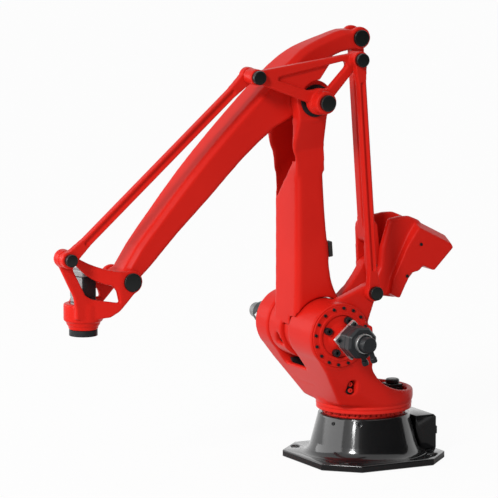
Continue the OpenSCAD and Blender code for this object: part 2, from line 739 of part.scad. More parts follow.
// Rows: distance from elbow to wrist, half width, lower edge, upper edge.
fore_rows = [[-crank_len - 6, tail_b, -40, 50], [-crank_len + 44, tail_b, -30, 96],
    [-310, tail_b + 2, 18, 131], [-230, tail_b + 12, 48, 164], [-150, 86, 66, 190], [-60, fore_b, 40, 200],
    [60, fore_b, -24, 204], [220, fore_b, 12, 198], [450, fore_b - 2, 20, 184],
    [700, 100, 2, 159], [950, 93, -12, 121], [1140, fore_tip_b, -33, 89],
    [fore_len, fore_tip_b, -38, 44]];
function fore_ring(r, w) = [for (p = section(r[1] - w, r[2] + w, r[3] - w, 12 - w / 3,
    min(26, (r[3] - r[2]) * 0.3) - w / 3)) [r[0], -p[0], p[1]]];
module forearm() {
    color(red) at(elbow, fore_dip) difference() {
        union() {
            difference() {
                skin([for (r = smooth(fore_rows, 2)) fore_ring(r, 0)]);
                // core space, open into the tail fork
                skin([for (r = smooth(fore_rows, 2)) if (r[0] > 90 - crank_len && r[0] < fore_len - 100)
                    fore_ring(r, wall)]);
            }
            bar([0, 0], ear_r, -fork_b + side, fork_b - side);
            bar([fore_len, 0], 52, -fore_tip_b, fore_tip_b);
            bar([-crank_len, 0], 56, -tail_b, tail_b);
        }
        // fork for the drive rod
        slab(-drive_t / 2 - side, drive_t / 2 + side) polygon([[-crank_len - 100, -200],
            [-crank_len + 112, -200], [-crank_len + 112, 20], [-crank_len + 60, 60],
            [-crank_len - 60, 60], [-crank_len - 100, 20]]);
        bar([0, 0], elbow_r + fit, -200, 200);
        bar([fore_len, 0], wrist_r + fit, -200, 200);
        bar([-crank_len, 0], pin_r + fit, -200, 200);
    }
}
wrist_r = 30;
module tail_pin() {
    color(steel) bar(tail, pin_r, -tail_b - 4, tail_b + 4);
}
module tail_caps() {
    color(dark) for (s = [-1, 1]) mirror([0, s < 0 ? 1 : 0, 0]) difference() {
        bar(tail, big_cap_r, tail_b + fit, tail_b + 16);
        bar(tail, pin_r + fit, 0, tail_b + 4 + fit);
    }
}

// ---- wrist ----

// Left cheek: level frame from the wrist boss to the link boss.
module head_left2d() {
    l = link - wrist;
    difference() {
        union() {
            circle(58);
            translate(l) circle(46);
            polygon(concat([[-42, -30], [68, -143], [110, -168], [tool_x, -178], [tool_x + 80, -170],
                [tool_x + 80, -120], [tool_x + 90, -60], l + [26, -30], l],
                curve(l + [-12, 40], [180, 56], [8, 52], 8)));
        }
        polygon(concat([[64, -98], [150, -84], [200, -74], [236, -52], l + [-52, -62], l + [-52, -46]],
            curve(l + [-66, -40], [200, 4], [98, -14], 6), [[76, -40]]));
    }
}
// Right cheek: a shorter frame that passes behind the wrist motor.
module head_right2d() {
    difference() {
        union() {
            circle(58);
            polygon(concat([[-42, -30], [68, -143], [110, -168], [tool_x, -178], [tool_x + 26, -170],
                [tool_x + 36, -110], [tool_x + 20, -60]], curve([tool_x, -30], [110, -6], [8, 52], 6)));
        }
        polygon(concat([[64, -98], [150, -84], [tool_x - 20, -84]],
            curve([tool_x - 16, -66], [150, -48], [98, -46], 4), [[76, -60]]));
    }
}
head_in = 66;
ring_drop = 232;
motor_drop = 98;
// Plan band that leads a cheek from the wrist boss in to the flange housing.
module head_band(s) {
    mirror([0, s < 0 ? 1 : 0, 0]) translate([wrist[0], 0, wrist[1] - 250]) linear_extrude(500)
        polygon([[-90, head_b - head_t], [-90, head_b], [60, head_b], [tool_x, head_in + 26],
            [480, head_in + 26], [480, head_in], [tool_x - 20, head_in], [60, head_b - head_t]]);
}
module wrist_head() {
    color(red) difference() {
        union() {
            intersection() {
                at(wrist) slab(0, 200) head_left2d();
                head_band(1);
            }
            intersection() {
                at(wrist) slab(-200, 0) head_right2d();
                head_band(-1);
            }
            bar(link, 44, head_in, wrod_y - rod_t / 2 - side);
            // flange housing and cross web
            translate([tool_cx, 0, wrist[1] - 190]) cylinder(r = 97, h = 88);
            translate([tool_cx, 0, wrist[1] - 210]) cylinder(r = 83, h = 24);
            translate([tool_cx, 0, wrist[1] - ring_drop]) cylinder(r = 73, h = 30);
            intersection() {
                at(wrist) slab(-100, 100) polygon([[84, -150], [110, -166], [tool_x, -176],
                    [tool_x, -120], [130, -108], [84, -128]]);
                translate([wrist[0], 0, 0]) linear_extrude(2000)
                    polygon([[60, 12 - head_b], [60, head_b - 12], [tool_x, 74], [tool_x, -74]]);
            }
        }
        translate([tool_cx, 0, wrist[1] - ring_drop - 1]) cylinder(r = 62 + fit, h = ring_drop - 29);
        bar(wrist, wrist_r + fit, -200, 200);
        bar(link, pin_r + fit, head_in + 8, 200);
    }
}
module wrist_gear_case() {
    color(alloy) translate([tool_cx, 0, 0]) {
        translate([0, 0, wrist[1] - ring_drop + side]) cylinder(r = 62, h = ring_drop - motor_drop - side);
    }
}
module wrist_motor() {
    color(dark) translate([tool_cx, 0, wrist[1] - motor_drop]) rotate([0, 0, 20])
        translate([-48, -48, 0]) cube([96, 96, 34 + motor_drop]);
}
module wrist_motor_cover() {
    color(alloy) translate([tool_cx, 0, wrist[1] + 34]) rotate([0, 0, 20])
        translate([-50, -50, 0]) difference() {
            cube([100, 100, 36]);
            translate([-1, -1, 26]) cube([30, 102, 20]);
        }
}
module wrist_shaft() {
    color(steel) bar(wrist, wrist_r, -head_b - 4, head_b + 4);
}
module wrist_caps() {
    color(dark) for (s = [-1, 1]) mirror([0, s < 0 ? 1 : 0, 0]) difference() {
        bar(wrist, 43, head_b + fit, head_b + 14);
        bar(wrist, wrist_r + fit, 0, head_b + 4 + fit);
    }
}
module link_pin() {
    color(steel) bar(link, pin_r, head_in + 10, wrod_y + rod_t / 2 + 14);
}
module link_cap() {
    color(dark) difference() {
        bar(link, cap_r, wrod_y + rod_t / 2 + side, wrod_y + rod_t / 2 + 26);
        bar(link, pin_r + fit, 0, wrod_y + rod_t / 2 + 14 + fit);
    }
}
module tool_flange() {
    color(iron) translate([tool_cx, 0, flange_z]) difference() {
        union() {
            cylinder(r = flange_r, h = tool_drop - ring_drop - side);
        }
        translate([0, 0, -1]) cylinder(r = pilot_r, h = pilot_d + 1);
        for (i = [0:5]) rotate([0, 0, i * 60]) translate([tool_pcd / 2, 0, -1])
            cylinder(r = tool_hole_r, h = 21);
    }
}

base_casting();
connector_box();
connector_panel();
panel_connectors();
base_plug();
slew_reducer();
column();
slew_ring();
slew_bolts();
slew_motor();
slew_motor_cap();
slot_screws();
main_spindle();
reducer(1, near_in);  // crank_reducer
reducer_bolts(1);  // crank_reducer_bolts
motor_adapter(1);  // crank_motor_adapter
motor_studs(1);  // crank_motor_studs
servo(1);  // crank_motor
servo_plugs(1);  // crank_motor_plugs
reducer(-1, far_in);  // arm_reducer
reducer_bolts(-1);  // arm_reducer_bolts
motor_adapter(-1);  // arm_motor_adapter
motor_studs(-1);  // arm_motor_studs
servo(-1);  // arm_motor
servo_plugs(-1);  // arm_motor_plugs
horn_pin();
horn_cap();
lower_arm();
arm_buffer();
elbow_shaft();
elbow_ring(1);  // elbow_ring_left
elbow_ring(-1);  // elbow_ring_right
crank();
counterweight();
counterweight_bolts();
crank_pin();
drive_rod();
tie_rod();
triangle();
triangle_pins();
triangle_caps();
forearm();
tail_pin();
tail_caps();
wrist_shaft();
wrist_caps();
wrist_rod();
wrist_head();
wrist_motor();
wrist_motor_cover();
wrist_gear_case();
link_pin();
link_cap();
tool_flange();
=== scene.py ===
"""A four-axis palletising robot arm, dressed and lit in a plain studio."""
import bpy
import bmesh
import json
import math
import numpy as np
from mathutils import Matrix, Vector


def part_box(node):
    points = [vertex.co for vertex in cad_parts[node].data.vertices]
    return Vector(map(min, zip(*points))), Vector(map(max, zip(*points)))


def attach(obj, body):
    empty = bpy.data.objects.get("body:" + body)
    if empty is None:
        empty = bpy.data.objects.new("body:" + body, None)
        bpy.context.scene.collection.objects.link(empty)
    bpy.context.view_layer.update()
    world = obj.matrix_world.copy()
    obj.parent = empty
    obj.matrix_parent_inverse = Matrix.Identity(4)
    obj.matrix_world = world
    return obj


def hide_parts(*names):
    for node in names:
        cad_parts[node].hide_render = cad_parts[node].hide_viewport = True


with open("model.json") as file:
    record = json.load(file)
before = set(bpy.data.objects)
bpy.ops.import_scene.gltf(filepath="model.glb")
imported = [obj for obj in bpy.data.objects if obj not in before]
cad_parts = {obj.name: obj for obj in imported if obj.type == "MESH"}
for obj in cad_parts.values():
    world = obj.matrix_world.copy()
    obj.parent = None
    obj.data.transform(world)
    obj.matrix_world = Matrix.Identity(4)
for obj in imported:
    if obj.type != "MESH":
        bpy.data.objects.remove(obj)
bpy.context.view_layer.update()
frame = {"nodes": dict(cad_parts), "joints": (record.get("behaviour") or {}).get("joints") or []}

# ---- Camera -------------------------------------------------------------
# A long lens far off on the robot's left, a little ahead of it and above,
# so that its uprights stay nearly parallel.
aim = Vector((0.6174, -0.0707, 1.0995))
away = Vector((0.46125, 0.87376, 0.15419))
camera_distance = 22.579
camera = bpy.data.objects.new("camera", bpy.data.cameras.new("camera"))
camera.data.lens = 328.2
camera.data.sensor_width = 36
camera.data.clip_end = 200
camera.location = aim + away * camera_distance
camera.rotation_euler = away.to_track_quat("Z", "Y").to_euler()
bpy.context.scene.collection.objects.link(camera)
bpy.context.scene.camera = camera

# ---- Studio -------------------------------------------------------------
# A pale floor that runs far back under an even pale sky, a broad key from
# the robot's front, and a small lamp that gloss paint shows as a spark.
bpy.context.scene.view_settings.view_transform = "Standard"
sky_light, plain_light = 0.33, 1.0


def seen_plain(tree):
    """Light Path's camera, glossy and transmission rays, joined to one 0-1 value."""
    path = tree.nodes.new("ShaderNodeLightPath")
    last = path.outputs["Is Camera Ray"]
    for kind in ("Is Glossy Ray", "Is Transmission Ray"):
        either = tree.nodes.new("ShaderNodeMath")
        either.operation = "MAXIMUM"
        tree.links.new(last, either.inputs[0])
        tree.links.new(path.outputs[kind], either.inputs[1])
        last = either.outputs[0]
    return last


def mix_out(tree, share, under, over, output_kind):
    """Mixes two shaders by a share and joins them to the tree's output."""
    mix = tree.nodes.new("ShaderNodeMixShader")
    out = tree.nodes.new(output_kind)
    tree.links.new(share, mix.inputs["Fac"])
    tree.links.new(under.outputs[0], mix.inputs[1])
    tree.links.new(over.outputs[0], mix.inputs[2])
    tree.links.new(mix.outputs[0], out.inputs["Surface"])


world = bpy.data.worlds.new("studio")
bpy.context.scene.world = world
world.use_nodes = True
world.node_tree.nodes.clear()
skies = []
for strength in (sky_light, plain_light):
    sky = world.node_tree.nodes.new("ShaderNodeBackground")
    sky.inputs["Color"].default_value = (1, 1, 1, 1)
    sky.inputs["Strength"].default_value = strength
    skies.append(sky)
mix_out(world.node_tree, seen_plain(world.node_tree), *skies, "ShaderNodeOutputWorld")


def lamp(name, kind, power, place, target, wide, tall=None):
    """A lamp at a place, turned to face a target. Its width is in metres, or
    in degrees of softness for a sun."""
    data = bpy.data.lights.new(name, kind)
    data.energy = power
    if kind == "SUN":
        data.angle = math.radians(wide)
    else:
        data.shape = "RECTANGLE"
        data.size = wide
        data.size_y = tall
    lit = bpy.data.objects.new(name, data)
    lit.location = place
    lit.rotation_euler = (Vector(place) - Vector(target)).to_track_quat("Z", "Y").to_euler()
    bpy.context.scene.collection.objects.link(lit)


lamp("key", "SUN", power=1.95, place=(7.35, 5.3, 6.0), target=(0, 0, 1.0), wide=12)
lamp("front_box", "AREA", power=140, place=(5.0, -2.25, 2.0), target=(0.1, 0, 0.7), wide=8.0, tall=2.4)
lamp("spark", "AREA", power=4, place=(2.41, 1.90, 1.11), target=(0.164, 0.195, 0.13), wide=0.3, tall=0.05)


def object_of(name, points, faces):
    """A new object in the scene, made of points and faces."""
    mesh = bpy.data.meshes.new(name)
    mesh.from_pydata(np.asarray(points, float).tolist(), [], faces)
    made = bpy.data.objects.new(name, mesh)
    bpy.context.scene.collection.objects.link(made)
    return made


# A dark card stands on the right and a grey one lies on the floor. Gloss
# paint mirrors them and nothing else sees them.
card_reach, card_height, card_lift, card_posts = 7, 5.5, 0.01, 9
card_turns = np.radians(np.linspace(170, 50, card_posts))
card_foot = np.column_stack([card_reach * np.cos(card_turns), card_reach * np.sin(card_turns),
                             np.full(card_posts, card_lift)])
right_card = (np.vstack([card_foot, card_foot + (0, 0, card_height)]),
              [(i, i + 1, i + 1 + card_posts, i + card_posts) for i in range(card_posts - 1)])
floor_card = ([(-3, -0.4, 0.004), (3, -0.4, 0.004), (3, 3, 0.004), (-3, 3, 0.004)], [(0, 1, 2, 3)])
for name, shape, grey in (("right_card", right_card, 0.02), ("floor_card", floor_card, 0.3)):
    card = object_of(name, *shape)
    card.visible_camera = card.visible_diffuse = card.visible_shadow = False
    matt = bpy.data.materials.new(name)
    matt.use_nodes = True
    skin = matt.node_tree.nodes["Principled BSDF"]
    skin.inputs["Base Color"].default_value = (grey, grey, grey, 1)
    skin.inputs["Roughness"].default_value = 1.0
    skin.inputs["Specular IOR Level"].default_value = 0.0
    card.data.materials.append(matt)

# The floor is matt to the light that falls on it, and glows almost white
# where it is seen, so that the shadow on it stays faint.
floor_glow, floor_grey, floor_reach = 0.95, 0.8, 70
floor = object_of("floor", [(x * floor_reach, y * floor_reach, 0)
                            for x, y in ((-1, -1), (1, -1), (1, 1), (-1, 1))], [(0, 1, 2, 3)])
pale = bpy.data.materials.new("pale_floor")
pale.use_nodes = True
tree = pale.node_tree
tree.nodes.clear()
matt = tree.nodes.new("ShaderNodeBsdfDiffuse")
matt.inputs["Color"].default_value = (floor_grey, floor_grey, floor_grey, 1)
glow = tree.nodes.new("ShaderNodeEmission")
glow.inputs["Color"].default_value = (1, 1, 1, 1)
glow.inputs["Strength"].default_value = 1.0
share = tree.nodes.new("ShaderNodeMath")
share.operation = "MULTIPLY"
share.inputs[1].default_value = floor_glow
tree.links.new(seen_plain(tree), share.inputs[0])
mix_out(tree, share.outputs[0], matt, glow, "ShaderNodeOutputMaterial")
floor.data.materials.append(pale)

# ---- Base casting -------------------------------------------------------
# A hollow iron cone on a cut-cornered plate, sand cast in one piece and
# painted gloss black, with the cable box welded up behind it.
shade_from, shade_to = 0.32, 0.7
# Pointiness over which sharp outer edges take a painted highlight in a lighter colour.
highlight_mask_from, highlight_mask_to = 0.52, 0.62
coat_rough = 0.1


def noise(tree, scale, detail):
    """Noise of a given fineness over the piece's own coordinates."""
    where = tree.nodes.new("ShaderNodeTexCoord")
    made = tree.nodes.new("ShaderNodeTexNoise")
    made.inputs["Scale"].default_value = scale
    made.inputs["Detail"].default_value = detail
    tree.links.new(where.outputs["Object"], made.inputs["Vector"])
    return made.outputs["Fac"]


def between(tree, value, low, high, start=0.0, end=1.0):
    """A value that runs from low to high while another runs from start to end."""
    made = tree.nodes.new("ShaderNodeMapRange")
    for socket, number in (("From Min", start), ("From Max", end), ("To Min", low), ("To Max", high)):
        made.inputs[socket].default_value = number
    tree.links.new(value, made.inputs["Value"])
    return made.outputs["Result"]


def finish(name, colour, second, rough, metal=0.0, shine=0.5, coat=0.0, grain=40.0, bump=0.1,
           edge_highlight=None, edge_highlight_share=0.2, spread=0.03, depth=0.0004, drift=2.5):
    """A painted, cast or machined surface. Its colour drifts slowly between
    two shades, a fine noise moves its roughness and lifts it, and its sharp
    outer edges are lightened towards a third shade, a painted highlight."""
    made = bpy.data.materials.new(name)
    made.use_nodes = True
    tree = made.node_tree
    skin = tree.nodes["Principled BSDF"]
    shade = tree.nodes.new("ShaderNodeValToRGB")
    for stop, at, tint in zip(shade.color_ramp.elements, (shade_from, shade_to), (colour, second)):
        stop.position = at
        stop.color = (*tint, 1)
    tree.links.new(noise(tree, drift, 3), shade.inputs["Fac"])
    tint = shade.outputs["Color"]
    # Sharp outer edges are lightened towards a third colour: a painted highlight.
    if edge_highlight:
        form = tree.nodes.new("ShaderNodeNewGeometry")
        highlight_mask = between(tree, form.outputs["Pointiness"], 0.0, edge_highlight_share, highlight_mask_from, highlight_mask_to)
        highlight_mix = tree.nodes.new("ShaderNodeMix")
        highlight_mix.data_type = "RGBA"
        tree.links.new(highlight_mask, highlight_mix.inputs["Factor"])
        tree.links.new(tint, highlight_mix.inputs["A"])
        highlight_mix.inputs["B"].default_value = (*edge_highlight, 1)
        tint = highlight_mix.outputs["Result"]
    tree.links.new(tint, skin.inputs["Base Color"])
    fine = noise(tree, grain, 4)
    tree.links.new(between(tree, fine, rough - spread, rough + spread), skin.inputs["Roughness"])
    lift = tree.nodes.new("ShaderNodeBump")
    lift.inputs["Strength"].default_value = bump
    lift.inputs["Distance"].default_value = depth
    tree.links.new(fine, lift.inputs["Height"])
    tree.links.new(lift.outputs["Normal"], skin.inputs["Normal"])
    skin.inputs["Metallic"].default_value = metal
    skin.inputs["Specular IOR Level"].default_value = shine
    skin.inputs["Coat Weight"].default_value = coat
    skin.inputs["Coat Roughness"].default_value = coat_rough
    return made


def dress(material, *nodes):
    """Puts one material in every slot of each CAD node."""
    for node in nodes:
        mesh = frame["nodes"][node].data
        if not mesh.materials:
            mesh.materials.append(material)
        for i in range(len(mesh.materials)):
            mesh.materials[i] = material


def merged_copy(name, node):
    """An object of the node's form, its loose triangles joined up."""
    mesh = frame["nodes"][node].data.copy()
    work = bmesh.new()
    work.from_mesh(mesh)
    bmesh.ops.remove_doubles(work, verts=work.verts, dist=1e-5)
    work.to_mesh(mesh)
    work.free()
    rough = bpy.data.objects.new(name + "_rough", mesh)
    bpy.context.scene.collection.objects.link(rough)
    return rough


def worked_mesh(rough):
    """The object's mesh with its modifiers worked in."""
    bpy.context.view_layer.update()
    return bpy.data.meshes.new_from_object(rough.evaluated_get(bpy.context.evaluated_depsgraph_get()))


def as_piece(piece, body, material, nodes):
    """Smooths and paints a piece, hangs it on its body, and hides the CAD nodes it stands for."""
    mesh = piece.data
    mesh.polygons.foreach_set("use_smooth", np.ones(len(mesh.polygons), dtype=bool))
    mesh.materials.clear()
    mesh.materials.append(material)
    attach(piece, body)
    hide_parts(*nodes)


def settle(name, rough, body, material, node):
    """Turns a worked object into the finished piece that stands for its node."""
    done = worked_mesh(rough)
    bpy.data.objects.remove(rough)
    done.name = name
    piece = bpy.data.objects.new(name, done)
    bpy.context.scene.collection.objects.link(piece)
    as_piece(piece, body, material, [node])
    return piece


def eased(name, node, body, material, width, steps=3, sharp=30, flat=0.4):
    """The node's form with every sharp edge machined to a small radius.
    Edges that turn by less than flat are merged away and those that turn by
    more than sharp are rounded, both in degrees."""
    rough = merged_copy(name, node)
    work = bmesh.new()
    work.from_mesh(rough.data)
    bmesh.ops.dissolve_limit(work, angle_limit=math.radians(flat), verts=work.verts, edges=work.edges)
    work.to_mesh(rough.data)
    work.free()
    ease = rough.modifiers.new("ease", "BEVEL")
    ease.width = width
    ease.segments = steps
    ease.limit_method = "ANGLE"
    ease.angle_limit = math.radians(sharp)
    ease.use_clamp_overlap = False
    ease.harden_normals = False
    flats = rough.modifiers.new("flats", "WEIGHTED_NORMAL")
    flats.keep_sharp = True
    settle(name, rough, body, material, node)


black_gloss = finish("black_gloss", (0.006, 0.006, 0.0065), (0.009, 0.009, 0.0095), 0.35, coat=1.0,
                     shine=0.08, grain=90, bump=0.04)
eased("base_casting_painted", "base_casting", "base", black_gloss, width=0.005)
eased("cable_box", "connector_box", "base", black_gloss, width=0.004)
black_satin = finish("black_satin", (0.011, 0.012, 0.013), (0.017, 0.018, 0.02), 0.4, shine=0.22,
                     grain=160)
bare_steel = finish("bare_steel", (0.3, 0.31, 0.32), (0.38, 0.39, 0.4), 0.35, metal=1.0, grain=220)
dress(bare_steel, "slew_reducer")
dress(black_satin, "base_plug")

# ---- Connector panel ----------------------------------------------------
# A blackened sheet on the back of the cable box, with two rectangular
# cable sockets in cast housings, each shut by a sprung lever on each side.
along_x, along_y, along_z = np.eye(3)
thin_edge = 0.001


def even_turns(count):
    """Angles i * 2 pi / count, for count spots spread evenly over a full turn."""
    return np.arange(count) * 2 * math.pi / count


def rounded_line(corners, bend, steps=5):
    """A profile with every inner corner turned by a short curve: (1-t)^2 A +
    2t(1-t) C + t^2 B, where A and B lie a bend's length either side of C."""
    corners = np.asarray(corners, float)
    c, a, b = corners[1:-1], corners[:-2], corners[2:]
    to_a, to_b = a - c, b - c
    a = c + to_a * (bend / np.linalg.norm(to_a, axis=1))[:, None]
    b = c + to_b * (bend / np.linalg.norm(to_b, axis=1))[:, None]
    t = np.linspace(0, 1, steps)[None, :, None]
    curve = (1 - t) ** 2 * a[:, None] + 2 * t * (1 - t) * c[:, None] + t ** 2 * b[:, None]
    return np.vstack([corners[:1], curve.reshape(-1, 2), corners[-1:]])


def spun(radius, level, count):
    """Rings about an upright axis. Ring u stands at level(u), and its point
    at the angle a lies at (r cos a, r sin a), where r is its radius there."""
    around = even_turns(count)
    radius = np.broadcast_to(radius, (len(level), count))
    level = np.repeat(np.asarray(level)[:, None], count, axis=1)
    return np.stack([radius * np.cos(around), radius * np.sin(around), level], axis=-1)


def many_sided(sides, reach, count, soft):
    """Radius of a polygon with eased corners. A side that faces t at a reach
    d has radius d / cos(angle - t); the inverses of all the sides, raised to
    a high power and summed, blend them into one outline."""
    facing, around = even_turns(sides), even_turns(count)
    near = np.maximum(np.cos(around[:, None] - facing), 0) / reach[:, None, :]
    return (near ** soft).sum(axis=-1) ** (-1 / soft)


def shut(rings):
    """Points and faces of a tube of rings, each end closed by a fan."""
    m, n = rings.shape[:2]
    points = np.vstack([rings.reshape(-1, 3), rings[0].mean(axis=0), rings[-1].mean(axis=0)])
    i, j = np.meshgrid(np.arange(m - 1), np.arange(n), indexing="ij")
    k = (j + 1) % n
    walls = np.stack([i * n + j, i * n + k, (i + 1) * n + k, (i + 1) * n + j], axis=-1).reshape(-1, 4)
    j = np.arange(n)
    k = (j + 1) % n
    foot = np.stack([k, j, np.full(n, m * n)], axis=-1)
    head = np.stack([(m - 1) * n + j, (m - 1) * n + k, np.full(n, m * n + 1)], axis=-1)
    return points, walls.tolist() + foot.tolist() + head.tolist()


def stood(solid, place, axis, across):
    """A solid drawn about (across, square to both, axis), set down at a place."""
    points, faces = solid
    up = np.asarray(axis, float) / np.linalg.norm(axis)
    side = np.asarray(across, float) - np.dot(across, up) * up
    side /= np.linalg.norm(side)
    return np.asarray(place, float) + points @ np.array([side, np.cross(up, side), up]), faces


def turned(line, reach, place, axis, across=along_x, sides=None, count=64, soft=40):
    """A bar of round or many-sided section, both ends shut. The line holds
    inset(u) and height(u): ring u stands at that height along the axis, and
    its outline is the bar's with every side moved in by that inset. Where a
    many-sided bar has fewer reaches than sides, they repeat round it."""
    inset, height = np.asarray(line, float).T
    if sides is None:
        radius = (reach - inset)[:, None]
    else:
        radius = many_sided(sides, np.resize(reach, sides) - inset[:, None], count, soft)
    return stood(shut(spun(radius, height, count)), place, axis, across)


def assembled(name, solids, body, material, slot, *nodes):
    """One piece of several computed solids, its broad faces kept flat."""
    starts = np.cumsum([0] + [len(points) for points, _ in solids])
    faces = [[int(v + start) for v in face] for start, (_, part) in zip(starts, solids) for face in part]
    piece = object_of(name, np.vstack([points for points, _ in solids]), faces)
    piece.modifiers.new("flats", "WEIGHTED_NORMAL").weight = 80
    as_piece(piece, body, material, nodes)


def middle_of(node):
    """The middle of a CAD node's box, and half its size."""
    low, high = (np.array(corner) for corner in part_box(node))
    return (low + high) / 2, (high - low) / 2


panel, panel_half = middle_of("connector_panel")
sheet = rounded_line([(0.02, 0), (0, 0), (0, 0.004), (0.02, 0.004)], thin_edge)
assembled("panel_sheet", [turned(sheet, (panel_half[2], panel_half[1]), panel + along_x * panel_half,
                                 -along_x, along_z, sides=4, count=96)],
          "base", black_satin, "black_parts", "connector_panel")
sockets_middle, sockets_half = middle_of("panel_connectors")
socket_foot = sockets_middle + along_x * sockets_half
socket_half_y, lever_out = 0.032, 0.0134
socket_y = (sockets_half[1] - socket_half_y) * along_y
housing = rounded_line([(0.02, 0), (0, 0), (0, 0.02), (0.004, 0.024), (0.004, 0.032), (0.012, 0.032),
                        (0.012, 0.026), (0.02, 0.026)], 0.002)
lever = rounded_line([(0.003, 0), (0, 0), (0, 0.006), (0.003, 0.006)], 0.0015)
sockets, levers = [], []
for foot in (socket_foot - socket_y, socket_foot + socket_y):
    sockets.append(turned(housing, (sockets_half[2], socket_half_y), foot, -along_x, along_z,
                          sides=4, count=72))
    for side in (-along_y, along_y):
        levers.append(turned(lever, (0.02, 0.004), foot - along_x * lever_out + side * socket_half_y, side,
                             along_z, sides=4, count=40))
assembled("cable_sockets", sockets + levers, "base", black_satin, "black_parts", "panel_connectors")

# ---- Base fillet --------------------------------------------------------
# The cast cone runs into its plate in a wide hollow fillet, whose radius
# and height follow (1-t)^2 A + 2t(1-t) C + t^2 B.


def hoop(line, count=160):
    """A closed hoop: the line of radii and heights, joined last to first, is
    carried round the upright axis."""
    rings = spun(line[:, :1], line[:, 1], count)
    m, n = rings.shape[:2]
    i, j = np.meshgrid(np.arange(m), np.arange(n), indexing="ij")
    next_i, next_j = (i + 1) % m, (j + 1) % n
    faces = np.stack([i * n + j, i * n + next_j, next_i * n + next_j, next_i * n + j], axis=-1)
    return rings.reshape(-1, 3), faces.reshape(-1, 4).tolist()


t = np.linspace(0, 1, 14)[:, None]
on_plate, bend_at, on_cone = np.array([(0.322, 0.0352), (0.2822, 0.0358), (0.2687, 0.088)])
fillet = (1 - t) ** 2 * on_plate + 2 * t * (1 - t) * bend_at + t ** 2 * on_cone
fillet = np.vstack([[0.25, 0.03], [0.32, 0.03], fillet, [0.2653, 0.0985], [0.262, 0.109], [0.25, 0.109]])
assembled("base_fillet", [hoop(fillet)], "base", black_gloss, "black_casting")

# ---- Turntable ----------------------------------------------------------
# The column is one red casting with two shoulder cheeks. It turns on the
# slewing ring, whose bolts show all round under its skirt.
# The red gets a painted highlight, a lighter red, along its sharp outer edges.
red_paint = finish("red_paint", (0.62, 0.014, 0.0085), (0.67, 0.017, 0.01), 0.34, shine=0.08, grain=70,
                   bump=0.05, edge_highlight=(0.85, 0.12, 0.09))


def block(outline, low, high, place, axis, across):
    """A straight-sided block: the outline's corners in order, at two heights."""
    rings = np.stack([np.column_stack([outline, np.full(len(outline), h)]) for h in (low, high)])
    return stood(shut(rings), place, axis, across)


def cored(rough, pads, hollows):
    """Works pads on to a rough copy, and hollows into it."""
    cores = []
    for kind, solids in (("UNION", pads), ("DIFFERENCE", hollows)):
        for solid in solids:
            core = object_of("core", *solid)
            cores.append(core)
            step = rough.modifiers.new("core", "BOOLEAN")
            step.operation = kind
            step.solver = "EXACT"
            step.object = core
    rough.data = worked_mesh(rough)
    rough.modifiers.clear()
    for core in cores:
        bpy.data.objects.remove(core)


def turn_points(mesh, turn):
    """Turns every point of a mesh by a matrix."""
    points = np.empty(len(mesh.vertices) * 3)
    mesh.vertices.foreach_get("co", points)
    mesh.vertices.foreach_set("co", (points.reshape(-1, 3) @ turn).ravel())


def casting(name, node, body, voxel, passes, keep=0.5, lean=0.0, hollows=(), pads=()):
    """The node's form as it leaves the foundry: pads are added to its copy
    and hollows cored out. It is stood upright along its main axis, rebuilt
    on an even grid and relaxed, so that every edge and corner gets a radius,
    and leaned back."""
    rough = merged_copy(name, node)
    if pads or hollows:
        cored(rough, pads, hollows)
    c, s = math.cos(math.radians(lean)), math.sin(math.radians(lean))
    turn = np.array([[c, 0, -s], [0, 1, 0], [s, 0, c]])
    turn_points(rough.data, turn.T)
    grid = rough.modifiers.new("grid", "REMESH")
    grid.mode = "VOXEL"
    grid.voxel_size = voxel
    relax = rough.modifiers.new("relax", "SMOOTH")
    relax.factor = 0.5
    relax.iterations = passes
    rough.modifiers.new("thin", "DECIMATE").ratio = keep
    piece = settle(name, rough, body, red_paint, node)
    turn_points(piece.data, turn)


# The column has a well between its cheeks, under the arm's hub, and an
# upright slot in its left side. A dark plate closes the slot, and a dark
# sheet on the well's far wall is painted shade, where the key lamp would
# otherwise light that wall.
slot_x, slot_z, slot_reach, slot_straight = 0.218, 0.418, 0.018, 0.018
slot_turns = even_turns(24) + math.pi / 24
slot_rise = slot_straight * np.sign(np.sin(slot_turns))
slot_line = np.column_stack([slot_reach * np.cos(slot_turns), slot_reach * np.sin(slot_turns) + slot_rise])
slot_middle = (slot_x, 0, slot_z)
slot_plate_face = 0.246
fork_slot = block(slot_line, 0.202, 0.32, slot_middle, along_y, along_x)
drum_well = block([(0.215, 0.4), (0.296, 0.4), (0.338, 0.52), (0.215, 0.52)], -0.038, 0.153, (0, 0, 0),
                  -along_y, along_x)
casting("column_casting", "column", "turntable", voxel=0.006, passes=18, hollows=[drum_well, fork_slot])
assembled("slot_plate", [block(slot_line, 0.19, slot_plate_face, slot_middle, along_y, along_x)],
          "turntable", black_satin, "black_parts")
# A dark sheet on the well's far wall: painted shade.
assembled("well_shade_sheet", [block([(0.222, 0.405), (0.298, 0.405), (0.337, 0.516), (0.222, 0.516)],
                                0.145, 0.158, (0, 0, 0), -along_y, along_x)],
          "turntable", black_satin, "black_parts")
dress(red_paint, "slew_ring")

# Two machined lips run round the skirt under the bowl.
lips = np.array([(0.225, 0.2625), (0.2385, 0.2625), (0.2405, 0.265), (0.2405, 0.278), (0.2392, 0.2795),
                 (0.2365, 0.2805), (0.2365, 0.2825), (0.2405, 0.2835), (0.242, 0.285), (0.242, 0.2955),
                 (0.2405, 0.297), (0.2355, 0.2985), (0.225, 0.2985)])
assembled("skirt_lips", [hoop(lips)], "turntable", red_paint, "red_paint")


